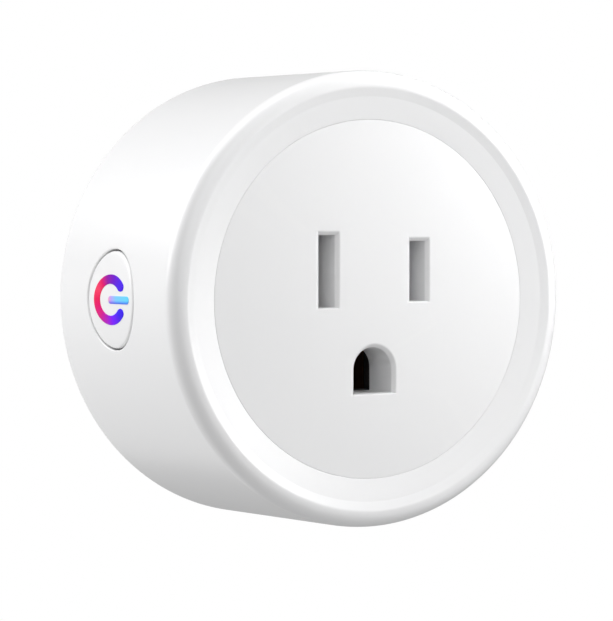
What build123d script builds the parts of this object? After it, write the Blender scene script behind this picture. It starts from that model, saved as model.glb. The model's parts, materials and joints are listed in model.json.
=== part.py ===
from build123d import *
import os
from math import cos, radians, sin, sqrt

os.makedirs("parts", exist_ok=True)

# A round plug-in power switch. The back face lies on the wall plane y = 0, +Y points into
# the wall, the socket face looks along -Y, +Z is up and the button is on the -X side.

# ---- Driving dimensions, millimetres ----
# Housing
face_depth = 28.35          # wall plane to the flat socket face
front_radius = 27.2         # outside of the barrel at the socket face
rear_radius = 28.7          # outside of the barrel at the wall
shell_wall = 2.2
lip_width = 3.12            # lip, from the sloping ring out to the barrel
band_width = 2.68           # sloping ring between the face plate and the lip
band_rise = 0.55            # how far the ring's outer edge stands in front of the face
lip_height = 0.9            # crest of the lip in front of the face
lip_slope = 1.1             # from the ring's outer edge to the lip's crest
lip_round = 1.8
crest_round = 0.5
rear_round = 0.5
ledge_width = 1.4
ledge_thickness = 1.6
groove_wall = 1.6           # ledge's own wall, inside the cored groove
groove_roof = 2.0           # from the socket face's level back to the groove's end
rim_wall = 1.3              # shell wall left around the rear cover

# Socket, the three-hole 15 A pattern
blade_spacing = 12.7
ground_drop = 11.9          # ground hole below the blade line
blade_line = 3.52           # blade line above the plug's axis
slot_width = 2.2
line_slot_height = 6.95
neutral_slot_height = 8.25
slot_chamfer = 0.42
ground_hole_radius = 2.65
ground_hole_flat = 2.55     # flat bottom below the ground hole's axis
plate_thickness = 2.2
plate_chamfer = 0.15
throat_depth = 5.6
throat_wall = 1.0
post_radius = 2.6
post_angle = 35.0           # degrees from the X axis, for the four screw posts
spigot_radius = 1.85
pilot_radius = 1.05
pilot_depth = 10.0

# Prongs
blade_thickness = 1.52
line_blade_width = 6.35
neutral_blade_width = 7.94
blade_length = 16.5
blade_tip_chamfer = 0.5
ground_pin_radius = 2.38
ground_pin_length = 19.6
ground_pin_tip = 1.9        # rounding of the free end
pin_collar = 0.25           # the pin is thicker inside the rear cover
rivet_radius = 1.2
rivet_head_radius = 1.9
foot_thickness = 1.0
foot_margin = 1.0
tail_width = 2.4
tail_thickness = 1.0
tail_shift = 2.0            # blade tails sit below the blade line, contact tails above it

# Rear cover and screws
cover_thickness = 3.0
key_width = 4.0
key_depth = 1.2
screw_radius = 1.25
screw_length = 8.0
screw_head_radius = 2.4
screw_head_height = 1.5
screw_seat_depth = 1.8
drive_radius = 0.8
drive_depth = 0.8

# Contacts and their carrier
strip = 0.5
contact_width = 7.0
contact_pinch = 0.55        # half of the free gap between the spring arms
contact_bow = 1.5
contact_flare = 1.7
contact_mouth_length = 2.0  # from the flared ends to the pinch
contact_bow_length = 4.5
contact_base_gap = 1.5      # behind the bent base, inside the carrier
tail_end = 0.5              # solder tails stand this far past the board
cavity_half_width = 2.6
cavity_margin = 0.2
carrier_wall = 1.0
carrier_front_wall = 1.2
ground_grip = 2.2           # half of the free gap in the ground contact
ground_contact_height = 6.6
strap_width = 4.0
strap_thickness = 0.6
strap_ring_radius = 3.6
strap_reach = 7.2

# Boards
board_thickness = 1.6
board_margin = 1.1          # power board's edge to the shell
board_gap = 2.5             # rear cover to the power board, for solder and flat parts
small_board = 1.2
part_gap = 0.5              # between parts that stand side by side on a board
tab_width = 3.0
tab_spacing = 10.0

# Relay
relay_length = 18.4
relay_width = 10.2
relay_height = 15.3
relay_wall = 0.8
relay_corner = 1.2
relay_base_height = 1.8
coil_radius = 3.6
coil_length = 7.4
bobbin_flange = 0.8
bobbin_tube_radius = 2.1
core_radius = 1.5
core_head_radius = 2.4
core_head_height = 0.6
coil_x = -2.4               # coil axis from the relay's middle
yoke_thickness = 0.9
yoke_x = -7.6
yoke_width = 5.6
armature_thickness = 0.9
armature_gap = 0.35         # open gap between the armature and the core's head
armature_overhang = 1.0     # past the core's head
spring_thickness = 0.2
spring_width = 2.6
contact_radius = 1.1
contact_button = 1.2        # height of the moving contact under its spring
contact_gap = 0.8           # open gap of the switching contacts
contact_x = 6.6

# Parts on the power board
filter_cap_radius = 4.0
filter_cap_length = 12.5
output_cap_radius = 3.15
output_cap_length = 9.0
output_cap_z = 2.6
resistor_radius = 1.8
resistor_length = 10.0
round_edge = 0.4
drum_radius = 3.5
drum_length = 8.0
drum_flange = 1.0
drum_waist = 1.75
varistor_radius = 4.5
varistor_thickness = 3.6
rectifier_size = (4.6, 2.4, 6.4)
rectifier_z = 2.6
chip_size = (5.0, 1.5, 4.0)
chip_place = (-12.5, -3.4)

# Radio module
wifi_width = 15.0
wifi_length = 16.4
shield_size = (2.3, 11.5, 12.4)
header_pins = 5
header_pitch = 2.54

# Button
button_depth = 14.4         # button axis behind the socket face
button_hole_radius = 6.0
button_gap = 0.2
button_travel = 0.3
cap_flange_overlap = 0.7    # flange beyond the hole
cap_flange_thickness = 1.0
cap_wall = 0.75
cap_stem_radius = 1.7
icon_plate = 0.6
icon_ring_y = 3.4           # the broken ring is wider along the plug's axis
icon_ring_z = 2.45
icon_ring_width_y = 1.75
icon_ring_width_z = 1.15
icon_ring_end = 40.0        # degrees from the front, where the broken ring ends
icon_bar_start = 0.1
icon_bar_end = 4.35
icon_bar_width = 1.05
switch_reach = 6.2          # cap flange to the button board
button_board_width = 14.4
button_board_margin = 3.75  # board beyond the button's axis, towards the face
switch_size = 6.0
switch_height = 3.4
switch_wall = 0.5
plunger_radius = 1.6
plunger_rise = 0.9
plunger_flange = 0.5
dome_radius = 2.2
dome_height = 0.7
dome_thickness = 0.15
led_size = (0.8, 1.6, 0.9)
led_spacing = 8.6

# Clearances
slip = 0.05                 # faces that bear on each other
fit = 0.1                   # one moulding inside another
board_fit = 0.2             # tabs, tails and spigots through a board

# ---- Places worked out from the driving dimensions ----
face_y = -face_depth
plate_back_y = face_y + plate_thickness
ledge_back_y = plate_back_y + ledge_thickness
throat_y = face_y + throat_depth
cover_y = -cover_thickness
board_back_y = cover_y - board_gap
board_y = board_back_y - board_thickness
carrier_front_y = throat_y + fit
carrier_back_y = board_y - fit
cavity_front_y = carrier_front_y + carrier_front_wall
band_radius = front_radius - lip_width
opening_radius = band_radius - band_width
recess_radius = rear_radius - rim_wall
cover_radius = recess_radius - fit
slot_x = blade_spacing / 2
ground_z = blade_line - ground_drop
button_y = face_y + button_depth
coil_top = relay_base_height + 2 * bobbin_flange + coil_length
post_ring = opening_radius - ledge_width - fit - post_radius
post_x = post_ring * cos(radians(post_angle))
post_z = post_ring * sin(radians(post_angle))
posts = [(x, z) for x in (-post_x, post_x) for z in (-post_z, post_z)]


def outer_radius(y):
    # the barrel widens evenly from the socket face to the wall
    return rear_radius - (rear_radius - front_radius) * -y / face_depth


def inner_radius(y):
    return outer_radius(y) - shell_wall


def across(y):
    # sketch plane at y that looks towards the socket side: local x is +X, local y is +Z,
    # and a positive extrusion runs towards -Y
    return Plane.XZ.offset(-y)


def sideways(x):
    # sketch plane at x that looks towards the button side: local x is -Y, local y is +Z,
    # and a positive extrusion runs towards -X
    return Plane(origin=(x, 0, 0), x_dir=(0, -1, 0), z_dir=(-1, 0, 0))


def chord(radius, half_width):
    # distance from the axis at which a circle is 2 * half_width wide
    return sqrt(radius**2 - half_width**2)


def on_board(height):
    # sketch plane at a height above the power board's component side
    return across(board_y - height)


# ---- Places that follow the barrel's wall ----
cap_radius = button_hole_radius - button_gap
cap_flange_radius = button_hole_radius + cap_flange_overlap
cap_bore_radius = cap_radius - cap_wall
cap_flange_x = fit - chord(inner_radius(button_y - cap_flange_radius), cap_flange_radius)
cap_back_x = cap_flange_x + cap_flange_thickness
cap_inside_x = cap_wall - chord(outer_radius(button_y - cap_radius), cap_radius)
button_board_x = cap_flange_x + switch_reach
wifi_x = chord(inner_radius(board_y - wifi_length), wifi_width / 2) - small_board / 2 - part_gap

# ---- Housing shell ----
crest_y = face_y - lip_height
groove_y = face_y + groove_roof
groove_radius = opening_radius + groove_wall
shell_points = [
    (rear_radius, 0),
    (outer_radius(crest_y), crest_y),
    (band_radius + lip_slope, crest_y),
    (band_radius, face_y - band_rise),
    (opening_radius, face_y),
    (opening_radius, plate_back_y),
    (opening_radius - ledge_width, plate_back_y),
    (opening_radius - ledge_width, ledge_back_y),
    (groove_radius, ledge_back_y),
    (groove_radius, groove_y),
    (inner_radius(groove_y), groove_y),
    (inner_radius(cover_y), cover_y),
    (recess_radius, cover_y),
    (recess_radius, 0),
]
shell_rounds = [rear_round, lip_round, crest_round] + [0] * (len(shell_points) - 3)

with BuildPart() as housing_shell:
    with BuildSketch(Plane.XY) as shell_profile:
        with BuildLine():
            FilletPolyline(*shell_points, radius=shell_rounds, close=True)
        make_face()
    revolve(axis=Axis.Y)
    # round hole for the button, through the -X wall only
    with BuildSketch(sideways(-opening_radius)):
        with Locations((-button_y, 0)):
            Circle(button_hole_radius)
    extrude(amount=rear_radius, mode=Mode.SUBTRACT)
    # notch for the rear cover's key, under the axis
    with BuildSketch(across(cover_y)):
        with Locations((0, -(inner_radius(cover_y) + recess_radius) / 2)):
            Rectangle(key_width + 2 * fit, 2 * (recess_radius - inner_radius(cover_y)))
    extrude(amount=key_depth + fit, mode=Mode.SUBTRACT)

# ---- Face plate with its throats and posts ----
slots = [(-slot_x, neutral_slot_height), (slot_x, line_slot_height)]

with BuildPart() as face_plate:
    with BuildSketch(across(plate_back_y)):
        Circle(opening_radius - fit)
    extrude(amount=plate_thickness)
    with BuildSketch(across(throat_y)):
        for x, height in slots:
            with Locations((x, blade_line)):
                Rectangle(slot_width + 2 * throat_wall, height + 2 * throat_wall)
        with Locations((0, ground_z)):
            Circle(ground_hole_radius + throat_wall)
        with Locations((0, ground_z - (ground_hole_flat + throat_wall) / 2)):
            Rectangle(2 * (ground_hole_radius + throat_wall), ground_hole_flat + throat_wall)
    extrude(amount=throat_depth - plate_thickness)
    with BuildSketch(across(board_y - slip)):
        with Locations(*posts):
            Circle(post_radius)
    extrude(amount=board_y - slip - plate_back_y)
    with BuildSketch(across(cover_y - slip)):
        with Locations(*posts):
            Circle(spigot_radius)
    extrude(amount=cover_y - board_y)
    with BuildSketch(across(throat_y)):
        for x, height in slots:
            with Locations((x, blade_line)):
                Rectangle(slot_width, height)
        with Locations((0, ground_z)):
            Circle(ground_hole_radius)
        with Locations((0, ground_z - ground_hole_flat / 2)):
            Rectangle(2 * ground_hole_radius, ground_hole_flat)
    extrude(amount=throat_depth, mode=Mode.SUBTRACT)
    with BuildSketch(across(cover_y - slip)):
        with Locations(*posts):
            Circle(pilot_radius)
    extrude(amount=pilot_depth, mode=Mode.SUBTRACT)
    socket_face = face_plate.faces().sort_by(Axis.Y)[0]
    mouth_edges = [edge for wire in socket_face.inner_wires() for edge in wire.edges()]
    chamfer(mouth_edges, length=slot_chamfer)
    chamfer(face_plate.faces().sort_by(Axis.Y)[0].outer_wire().edges(), length=plate_chamfer)

# ---- Rear cover ----
blades = [(-slot_x, neutral_blade_width), (slot_x, line_blade_width)]

with BuildPart() as rear_cover:
    with BuildSketch(across(0)):
        Circle(cover_radius)
    extrude(amount=cover_thickness)
    with BuildSketch(across(cover_y)):
        with Locations((0, -(inner_radius(cover_y) + recess_radius) / 2)):
            Rectangle(key_width, recess_radius - inner_radius(cover_y) - 2 * fit)
    extrude(amount=key_depth)
    with BuildSketch(across(0)):
        for x, width in blades:
            with Locations((x, blade_line)):
                Rectangle(blade_thickness + 2 * slip, width + 2 * slip)
        with Locations((0, ground_z)):
            Circle(ground_pin_radius + pin_collar + slip)
        with Locations(*posts):
            Circle(screw_radius + fit)
    extrude(amount=cover_thickness, mode=Mode.SUBTRACT)
    with BuildSketch(across(0)):
        with Locations(*posts):
            Circle(screw_head_radius + fit)
    extrude(amount=screw_seat_depth, mode=Mode.SUBTRACT)

# ---- Rear screws, one node ----
head_y = -(screw_seat_depth - screw_head_height)
with BuildPart() as rear_screws:
    with BuildSketch(across(head_y)):
        with Locations(*posts):
            Circle(screw_head_radius)
    extrude(amount=screw_head_height)
    with BuildSketch(across(head_y - screw_head_height)):
        with Locations(*posts):
            Circle(pilot_radius - slip)
    extrude(amount=screw_length)
    with BuildSketch(across(head_y)):
        with Locations(*posts):
            RegularPolygon(drive_radius, 6)
    extrude(amount=drive_depth, mode=Mode.SUBTRACT)

# ---- Prongs ----
blade_parts = []
for x, width in blades:
    with BuildPart() as blade:
        with BuildSketch(across(blade_length)):
            with Locations((x, blade_line)):
                Rectangle(blade_thickness, width)
        extrude(amount=blade_length + cover_thickness + slip)
        chamfer(blade.faces().sort_by(Axis.Y)[-1].edges(), length=blade_tip_chamfer)
        with BuildSketch(across(cover_y - slip)):
            with Locations((x, blade_line)):
                Rectangle(blade_thickness + 2 * foot_margin, width + 2 * foot_margin)
        extrude(amount=foot_thickness)
        with BuildSketch(across(cover_y)):
            with Locations((x, blade_line - tail_shift)):
                Rectangle(tail_thickness, tail_width)
        extrude(amount=board_gap + board_thickness + tail_end)
    blade_parts.append(blade)
neutral_blade, line_blade = blade_parts

rivet_y = cover_y - slip - foot_thickness
with BuildPart() as ground_pin:
    with BuildSketch(across(ground_pin_length)):
        with Locations((0, ground_z)):
            Circle(ground_pin_radius)
    extrude(amount=ground_pin_length)
    fillet(ground_pin.faces().sort_by(Axis.Y)[-1].edges(), radius=ground_pin_tip)
    with BuildSketch(across(0)):
        with Locations((0, ground_z)):
            Circle(ground_pin_radius + pin_collar)
    extrude(amount=cover_thickness + slip)
    with BuildSketch(across(cover_y - slip)):
        with Locations((0, ground_z)):
            Circle(ground_pin_radius + foot_margin)
    extrude(amount=foot_thickness)
    with BuildSketch(across(rivet_y)):
        with Locations((0, ground_z)):
            Circle(rivet_radius)
    extrude(amount=strap_thickness + 2 * slip)
    with BuildSketch(across(rivet_y - strap_thickness - 2 * slip)):
        with Locations((0, ground_z)):
            Circle(rivet_head_radius)
    extrude(amount=strap_thickness)

# ---- Contact carrier ----
cavity_height = contact_width + 2 * cavity_margin
carrier_half = slot_x + cavity_half_width + carrier_wall
carrier_top = blade_line + cavity_height / 2 + carrier_wall
carrier_mid = blade_line - cavity_height / 2 - carrier_wall
ground_half = ground_grip + strip + 2 * cavity_margin + contact_bow / 2
ground_top = ground_z + ground_contact_height / 2 + cavity_margin
ground_bottom = ground_z - ground_contact_height / 2 - 2 * strap_thickness - cavity_margin
carrier_bottom = ground_bottom - carrier_wall
carrier_length = carrier_back_y - carrier_front_y
core_half = slot_x - cavity_half_width - carrier_wall

with BuildPart() as contact_carrier:
    with BuildSketch(across(carrier_back_y)):
        with Locations((0, (carrier_top + carrier_mid) / 2)):
            Rectangle(2 * carrier_half, carrier_top - carrier_mid)
        with Locations((0, (carrier_mid + carrier_bottom) / 2)):
            Rectangle(2 * (ground_half + carrier_wall), carrier_mid - carrier_bottom)
    extrude(amount=carrier_length)
    # cavities, open towards the board
    with BuildSketch(across(carrier_back_y)):
        for x in (-slot_x, slot_x):
            with Locations((x, blade_line)):
                Rectangle(2 * cavity_half_width, cavity_height)
        with Locations((0, (ground_top + ground_bottom) / 2)):
            Rectangle(2 * ground_half, ground_top - ground_bottom)
        with Locations((0, blade_line)):
            Rectangle(2 * core_half, cavity_height)
    extrude(amount=carrier_back_y - cavity_front_y, mode=Mode.SUBTRACT)
    # windows in front of the cavities
    with BuildSketch(across(carrier_back_y)):
        for x, height in slots:
            with Locations((x, blade_line)):
                Rectangle(slot_width + fit, height + fit)
        with Locations((0, ground_z)):
            Rectangle(2 * (ground_hole_radius + fit), 2 * (ground_hole_radius + fit))
    extrude(amount=carrier_length, mode=Mode.SUBTRACT)

# ---- Blade contacts ----
mouth_y = cavity_front_y + cavity_margin
base_y = carrier_back_y - contact_base_gap
pinch_y = mouth_y + contact_mouth_length
bow_y = pinch_y + contact_bow_length
half_strip = strip / 2

contact_parts = []
for x in (-slot_x, slot_x):
    arm = [
        (x + contact_flare, mouth_y),
        (x + contact_pinch + half_strip, pinch_y),
        (x + contact_bow, bow_y),
        (x + contact_bow, base_y),
    ]
    other_arm = [(2 * x - px, py) for px, py in reversed(arm)]
    with BuildPart() as contact:
        with BuildSketch(Plane.XY.offset(blade_line)):
            with BuildLine():
                Polyline(*arm, *other_arm)
            trace(line_width=strip)
        extrude(amount=contact_width / 2, both=True)
        with BuildSketch(across(board_back_y + tail_end)):
            with Locations((x, blade_line + tail_shift)):
                Rectangle(tail_thickness, tail_width)
        extrude(amount=board_back_y + tail_end - base_y)
    contact_parts.append(contact)
neutral_contact, line_contact = contact_parts

# ---- Ground contact: two bowed arms on a base strip ----
ground_base_z = ground_z - ground_contact_height / 2
with BuildPart() as ground_contact:
    for side in (-1, 1):
        with BuildSketch(Plane.XY.offset(ground_base_z)):
            with BuildLine():
                Polyline(
                    (side * (ground_grip + contact_bow / 2), mouth_y),
                    (side * (ground_grip + half_strip), pinch_y),
                    (side * (ground_grip + contact_bow / 2), bow_y),
                    (side * (ground_grip + contact_bow / 2), base_y),
                )
            trace(line_width=strip)
        extrude(amount=ground_contact_height)
    with BuildSketch(Plane.XY.offset(ground_base_z)):
        with Locations((0, (bow_y + base_y) / 2)):
            Rectangle(2 * ground_grip + contact_bow, base_y - bow_y)
    extrude(amount=strap_thickness)

# ---- Ground strap: ring under the pin's rivet, then forward under the contact ----
strap_y = rivet_y - slip
strap_z = ground_base_z - slip - strap_thickness
with BuildPart() as ground_strap:
    with BuildSketch(across(strap_y)):
        with Locations((0, ground_z)):
            Circle(strap_ring_radius)
        with Locations((0, (ground_z + strap_z) / 2)):
            Rectangle(strap_width, ground_z - strap_z)
    extrude(amount=strap_thickness)
    with BuildSketch(Plane.XY.offset(strap_z)):
        with Locations((0, strap_y - (strap_reach + board_thickness) / 2)):
            Rectangle(strap_width, strap_reach + board_thickness)
    extrude(amount=strap_thickness)
    with BuildSketch(across(strap_y)):
        with Locations((0, ground_z)):
            Circle(rivet_radius + slip)
    extrude(amount=strap_thickness, mode=Mode.SUBTRACT)

# ---- Main board ----
board_radius = inner_radius(board_y) - board_margin
with BuildPart() as main_board:
    with BuildSketch(across(board_back_y)):
        Circle(board_radius)
        # notch that clears the button's flange
        with Locations((-board_radius, 0)):
            Rectangle(
                2 * (board_radius + cap_back_x + button_travel + fit),
                2 * (cap_flange_radius + fit),
                mode=Mode.SUBTRACT,
            )
        with Locations(*posts):
            Circle(spigot_radius + board_fit, mode=Mode.SUBTRACT)
        # clear way for the ground pin of whatever is plugged in, and for the strap
        with Locations((0, ground_z)):
            Circle(strap_ring_radius + board_fit, mode=Mode.SUBTRACT)
        with Locations((0, (ground_z + strap_z) / 2 - board_fit)):
            Rectangle(strap_width + 2 * board_fit, ground_z - strap_z, mode=Mode.SUBTRACT)
        for x in (-slot_x, slot_x):
            for z in (blade_line - tail_shift, blade_line + tail_shift):
                with Locations((x, z)):
                    Rectangle(
                        tail_thickness + 2 * board_fit, tail_width + 2 * board_fit, mode=Mode.SUBTRACT
                    )
        for z in (-tab_spacing / 2, tab_spacing / 2):
            with Locations((button_board_x + small_board / 2, z)):
                Rectangle(small_board + 2 * slip, tab_width + 2 * slip, mode=Mode.SUBTRACT)
    extrude(amount=board_thickness)

# ---- Relay, above the contact carrier ----
relay_z = carrier_top + part_gap + relay_width / 2
with BuildPart() as relay_base:
    with BuildSketch(on_board(0)):
        with Locations((0, relay_z)):
            Rectangle(relay_length, relay_width)
    extrude(amount=relay_base_height)

with BuildPart() as relay_case:
    with BuildSketch(on_board(relay_base_height + slip)):
        with Locations((0, relay_z)):
            Rectangle(relay_length, relay_width)
    extrude(amount=relay_height - relay_base_height)
    fillet(relay_case.edges().filter_by(Axis.Y), radius=relay_corner)
    offset(amount=-relay_wall, openings=relay_case.faces().sort_by(Axis.Y)[-1])

with BuildPart() as relay_bobbin:
    for height in (relay_base_height + slip, coil_top - bobbin_flange):
        with BuildSketch(on_board(height)):
            with Locations((coil_x, relay_z)):
                Circle(coil_radius + 2 * slip)
        extrude(amount=bobbin_flange)
    with BuildSketch(on_board(relay_base_height + slip)):
        with Locations((coil_x, relay_z)):
            Circle(bobbin_tube_radius)
    extrude(amount=coil_top - relay_base_height - slip)
    with BuildSketch(on_board(relay_base_height)):
        with Locations((coil_x, relay_z)):
            Circle(core_radius + slip)
    extrude(amount=relay_height, mode=Mode.SUBTRACT)

with BuildPart() as relay_winding:
    with BuildSketch(on_board(relay_base_height + bobbin_flange + 2 * slip)):
        with Locations((coil_x, relay_z)):
            Circle(coil_radius)
            Circle(bobbin_tube_radius + slip, mode=Mode.SUBTRACT)
    extrude(amount=coil_top - relay_base_height - 2 * bobbin_flange - 3 * slip)

with BuildPart() as relay_core:
    with BuildSketch(on_board(relay_base_height + slip)):
        with Locations((coil_x, relay_z)):
            Circle(core_radius)
    extrude(amount=coil_top - relay_base_height)
    with BuildSketch(on_board(coil_top + slip)):
        with Locations((coil_x, relay_z)):
            Circle(core_head_radius)
    extrude(amount=core_head_height)

armature_height = coil_top + slip + core_head_height + armature_gap
with BuildPart() as relay_yoke:
    with BuildSketch(on_board(relay_base_height + slip)):
        with Locations((yoke_x, relay_z)):
            Rectangle(yoke_thickness, yoke_width)
    extrude(amount=armature_height - relay_base_height - 2 * slip)

# the armature swings on the yoke's top edge, its free end over the core's head
armature_end = coil_x + core_head_radius + armature_overhang
with BuildPart() as relay_armature:
    with BuildSketch(on_board(armature_height)):
        with Locations(((yoke_x - yoke_thickness / 2 + armature_end) / 2, relay_z)):
            Rectangle(armature_end - yoke_x + yoke_thickness / 2, yoke_width)
    extrude(amount=armature_thickness)

# contact spring on the armature, with the moving contact at its free end
spring_height = armature_height + armature_thickness + slip
spring_start = coil_x - armature_overhang
spring_end = contact_x + contact_radius
button_height = spring_height - contact_button
with BuildPart() as relay_contact_spring:
    with BuildSketch(on_board(spring_height)):
        with Locations(((spring_start + spring_end) / 2, relay_z)):
            Rectangle(spring_end - spring_start, spring_width)
    extrude(amount=spring_thickness)
    with BuildSketch(on_board(button_height)):
        with Locations((contact_x, relay_z)):
            Circle(contact_radius)
    extrude(amount=spring_height - button_height)

with BuildPart() as relay_fixed_contact:
    with BuildSketch(on_board(relay_base_height + slip)):
        with Locations((contact_x + contact_radius - strip / 2, relay_z)):
            Rectangle(strip, spring_width)
    extrude(amount=button_height - contact_gap - relay_base_height - slip)
    with BuildSketch(on_board(button_height - contact_gap - contact_radius)):
        with Locations((contact_x, relay_z)):
            Circle(contact_radius)
    extrude(amount=contact_radius)

# ---- Round parts on the power board, beside and under the contact carrier ----
side_x = ground_half + carrier_wall + part_gap
under_z = carrier_bottom - part_gap
drum_x = 0.2 * drum_radius
drum_z = under_z - part_gap - drum_radius
filter_cap_x = drum_x + drum_radius + part_gap + filter_cap_radius
filter_cap_z = under_z - filter_cap_radius + 2 * part_gap
varistor_x = drum_x - drum_radius - part_gap - varistor_radius
varistor_z = drum_z

round_parts = []
for radius, length, x, z in (
    (filter_cap_radius, filter_cap_length, filter_cap_x, filter_cap_z),
    (output_cap_radius, output_cap_length, carrier_half + part_gap + output_cap_radius, output_cap_z),
    (resistor_radius, resistor_length, -side_x - resistor_radius, carrier_mid - part_gap - resistor_radius),
):
    with BuildPart() as round_part:
        with BuildSketch(on_board(slip)):
            with Locations((x, z)):
                Circle(radius)
        extrude(amount=length)
        fillet(round_part.edges().filter_by(GeomType.CIRCLE), radius=round_edge)
    round_parts.append(round_part)
filter_capacitor, output_capacitor, fusible_resistor = round_parts

with BuildPart() as inductor_core:
    for height in (slip, drum_length - drum_flange):
        with BuildSketch(on_board(height)):
            with Locations((drum_x, drum_z)):
                Circle(drum_radius)
        extrude(amount=drum_flange)
    with BuildSketch(on_board(slip)):
        with Locations((drum_x, drum_z)):
            Circle(drum_waist)
    extrude(amount=drum_length - slip)

with BuildPart() as inductor_winding:
    with BuildSketch(on_board(drum_flange + 2 * slip)):
        with Locations((drum_x, drum_z)):
            Circle(drum_radius - 2 * slip)
            Circle(drum_waist + slip, mode=Mode.SUBTRACT)
    extrude(amount=drum_length - 2 * drum_flange - 3 * slip)

with BuildPart() as varistor:
    with BuildSketch(Plane.XY.offset(varistor_z - varistor_thickness / 2)):
        with Locations((varistor_x, board_y - slip - varistor_radius)):
            Circle(varistor_radius)
    extrude(amount=varistor_thickness)
    fillet(varistor.edges().filter_by(GeomType.CIRCLE), radius=2 * round_edge)

# ---- Flat chips: the rectifier in front of the board, the regulator behind it ----
with BuildPart() as bridge_rectifier:
    with BuildSketch(on_board(slip)):
        with Locations((-carrier_half - part_gap - rectifier_size[0] / 2, rectifier_z)):
            Rectangle(rectifier_size[0], rectifier_size[2])
    extrude(amount=rectifier_size[1])

with BuildPart() as regulator_chip:
    with BuildSketch(across(board_back_y + slip + chip_size[1])):
        with Locations(chip_place):
            Rectangle(chip_size[0], chip_size[2])
    extrude(amount=chip_size[1])

# ---- Radio module, standing on the power board ----
with BuildPart() as wifi_board:
    with BuildSketch(sideways(wifi_x + small_board / 2)):
        with Locations((-board_y + slip + wifi_length / 2, 0)):
            Rectangle(wifi_length, wifi_width)
    extrude(amount=small_board)

with BuildPart() as wifi_shield:
    with BuildSketch(sideways(wifi_x - small_board / 2 - slip)):
        with Locations((-board_y + wifi_length - shield_size[1] / 2 - slip, 0)):
            Rectangle(shield_size[1], shield_size[2])
    extrude(amount=shield_size[0])
    fillet(wifi_shield.edges().filter_by(Axis.X), radius=small_board / 2)

header_x = wifi_x - small_board / 2 - slip - header_pitch / 2
with BuildPart() as wifi_header:
    with BuildSketch(on_board(slip)):
        with Locations((header_x, 0)):
            Rectangle(header_pitch, header_pins * header_pitch)
    extrude(amount=header_pitch)

# ---- Button board, switch and lights ----
button_board_end = -button_y + switch_size / 2 + button_board_margin
with BuildPart() as button_board:
    with BuildSketch(sideways(button_board_x + small_board)):
        with Locations(((-board_y + slip + button_board_end) / 2, 0)):
            Rectangle(button_board_end + board_y - slip, button_board_width)
        for z in (-tab_spacing / 2, tab_spacing / 2):
            with Locations((-board_y - board_thickness / 2 + slip, z)):
                Rectangle(board_thickness, tab_width)
    extrude(amount=small_board)

switch_top_x = button_board_x - slip - switch_height
with BuildPart() as tact_switch_body:
    with BuildSketch(sideways(button_board_x - slip)):
        with Locations((-button_y, 0)):
            Rectangle(switch_size, switch_size)
    extrude(amount=switch_height)
    with BuildSketch(sideways(button_board_x - slip - switch_wall)):
        with Locations((-button_y, 0)):
            Circle(switch_size / 2 - switch_wall)
    extrude(amount=switch_height - 2 * switch_wall, mode=Mode.SUBTRACT)
    with BuildSketch(sideways(button_board_x - slip - switch_wall)):
        with Locations((-button_y, 0)):
            Circle(plunger_radius + slip)
    extrude(amount=switch_height, mode=Mode.SUBTRACT)

flange_x = switch_top_x + switch_wall + slip
with BuildPart() as tact_switch_plunger:
    with BuildSketch(sideways(flange_x + plunger_flange)):
        with Locations((-button_y, 0)):
            Circle(plunger_radius + plunger_flange)
    extrude(amount=plunger_flange)
    with BuildSketch(sideways(flange_x)):
        with Locations((-button_y, 0)):
            Circle(plunger_radius)
    extrude(amount=slip + switch_wall + plunger_rise)

# spring dome: a shallow cap of a thin ball, standing off its rim
dome_floor_x = button_board_x - slip - switch_wall - slip
dome_ball = (dome_radius**2 + dome_height**2) / (2 * dome_height)
dome_centre_x = dome_floor_x - dome_height + dome_ball
with BuildPart() as tact_dome:
    with Locations((dome_centre_x, button_y, 0)):
        Sphere(dome_ball)
        Sphere(dome_ball - dome_thickness, mode=Mode.SUBTRACT)
    split(bisect_by=Plane(origin=(dome_floor_x, 0, 0), z_dir=(-1, 0, 0)), keep=Keep.TOP)

with BuildPart() as status_leds:
    with BuildSketch(sideways(button_board_x - slip)):
        for z in (-led_spacing / 2, led_spacing / 2):
            with Locations((-button_y, z)):
                Rectangle(led_size[1], led_size[2])
    extrude(amount=led_size[0])

# ---- Button cap and its light-guide icon ----
def barrel_solid(gap):
    # the barrel's outer cone, set back by a gap, as a solid to trim with
    with BuildPart() as cone:
        with BuildSketch(Plane.XY):
            with BuildLine():
                Polyline(
                    (0, 0),
                    (rear_radius - gap, 0),
                    (front_radius - gap, face_y),
                    (0, face_y),
                    close=True,
                )
            make_face()
        revolve(axis=Axis.Y)
    return cone.part


def icon_outline(grow):
    # power symbol: a broken elliptical ring, open towards the front, and a bar through the opening
    half_y = icon_ring_width_y / 2 + grow
    half_z = icon_ring_width_z / 2 + grow
    end_y = icon_ring_y * cos(radians(icon_ring_end))
    end_z = icon_ring_z * sin(radians(icon_ring_end))
    reach = 2 * icon_ring_y
    with BuildSketch() as symbol:
        Ellipse(icon_ring_y + half_y, icon_ring_z + half_z)
        Ellipse(icon_ring_y - half_y, icon_ring_z - half_z, mode=Mode.SUBTRACT)
        with BuildLine():
            Polyline((0, 0), (reach * end_y, reach * end_z), (reach * end_y, -reach * end_z), close=True)
        make_face(mode=Mode.SUBTRACT)
        with Locations((end_y, end_z), (end_y, -end_z)):
            Circle(icon_ring_width_z / 2 + grow)
        with Locations(((icon_bar_start + icon_bar_end) / 2, 0)):
            SlotCenterToCenter(icon_bar_end - icon_bar_start, icon_bar_width + 2 * grow)
    return symbol.sketch


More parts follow.
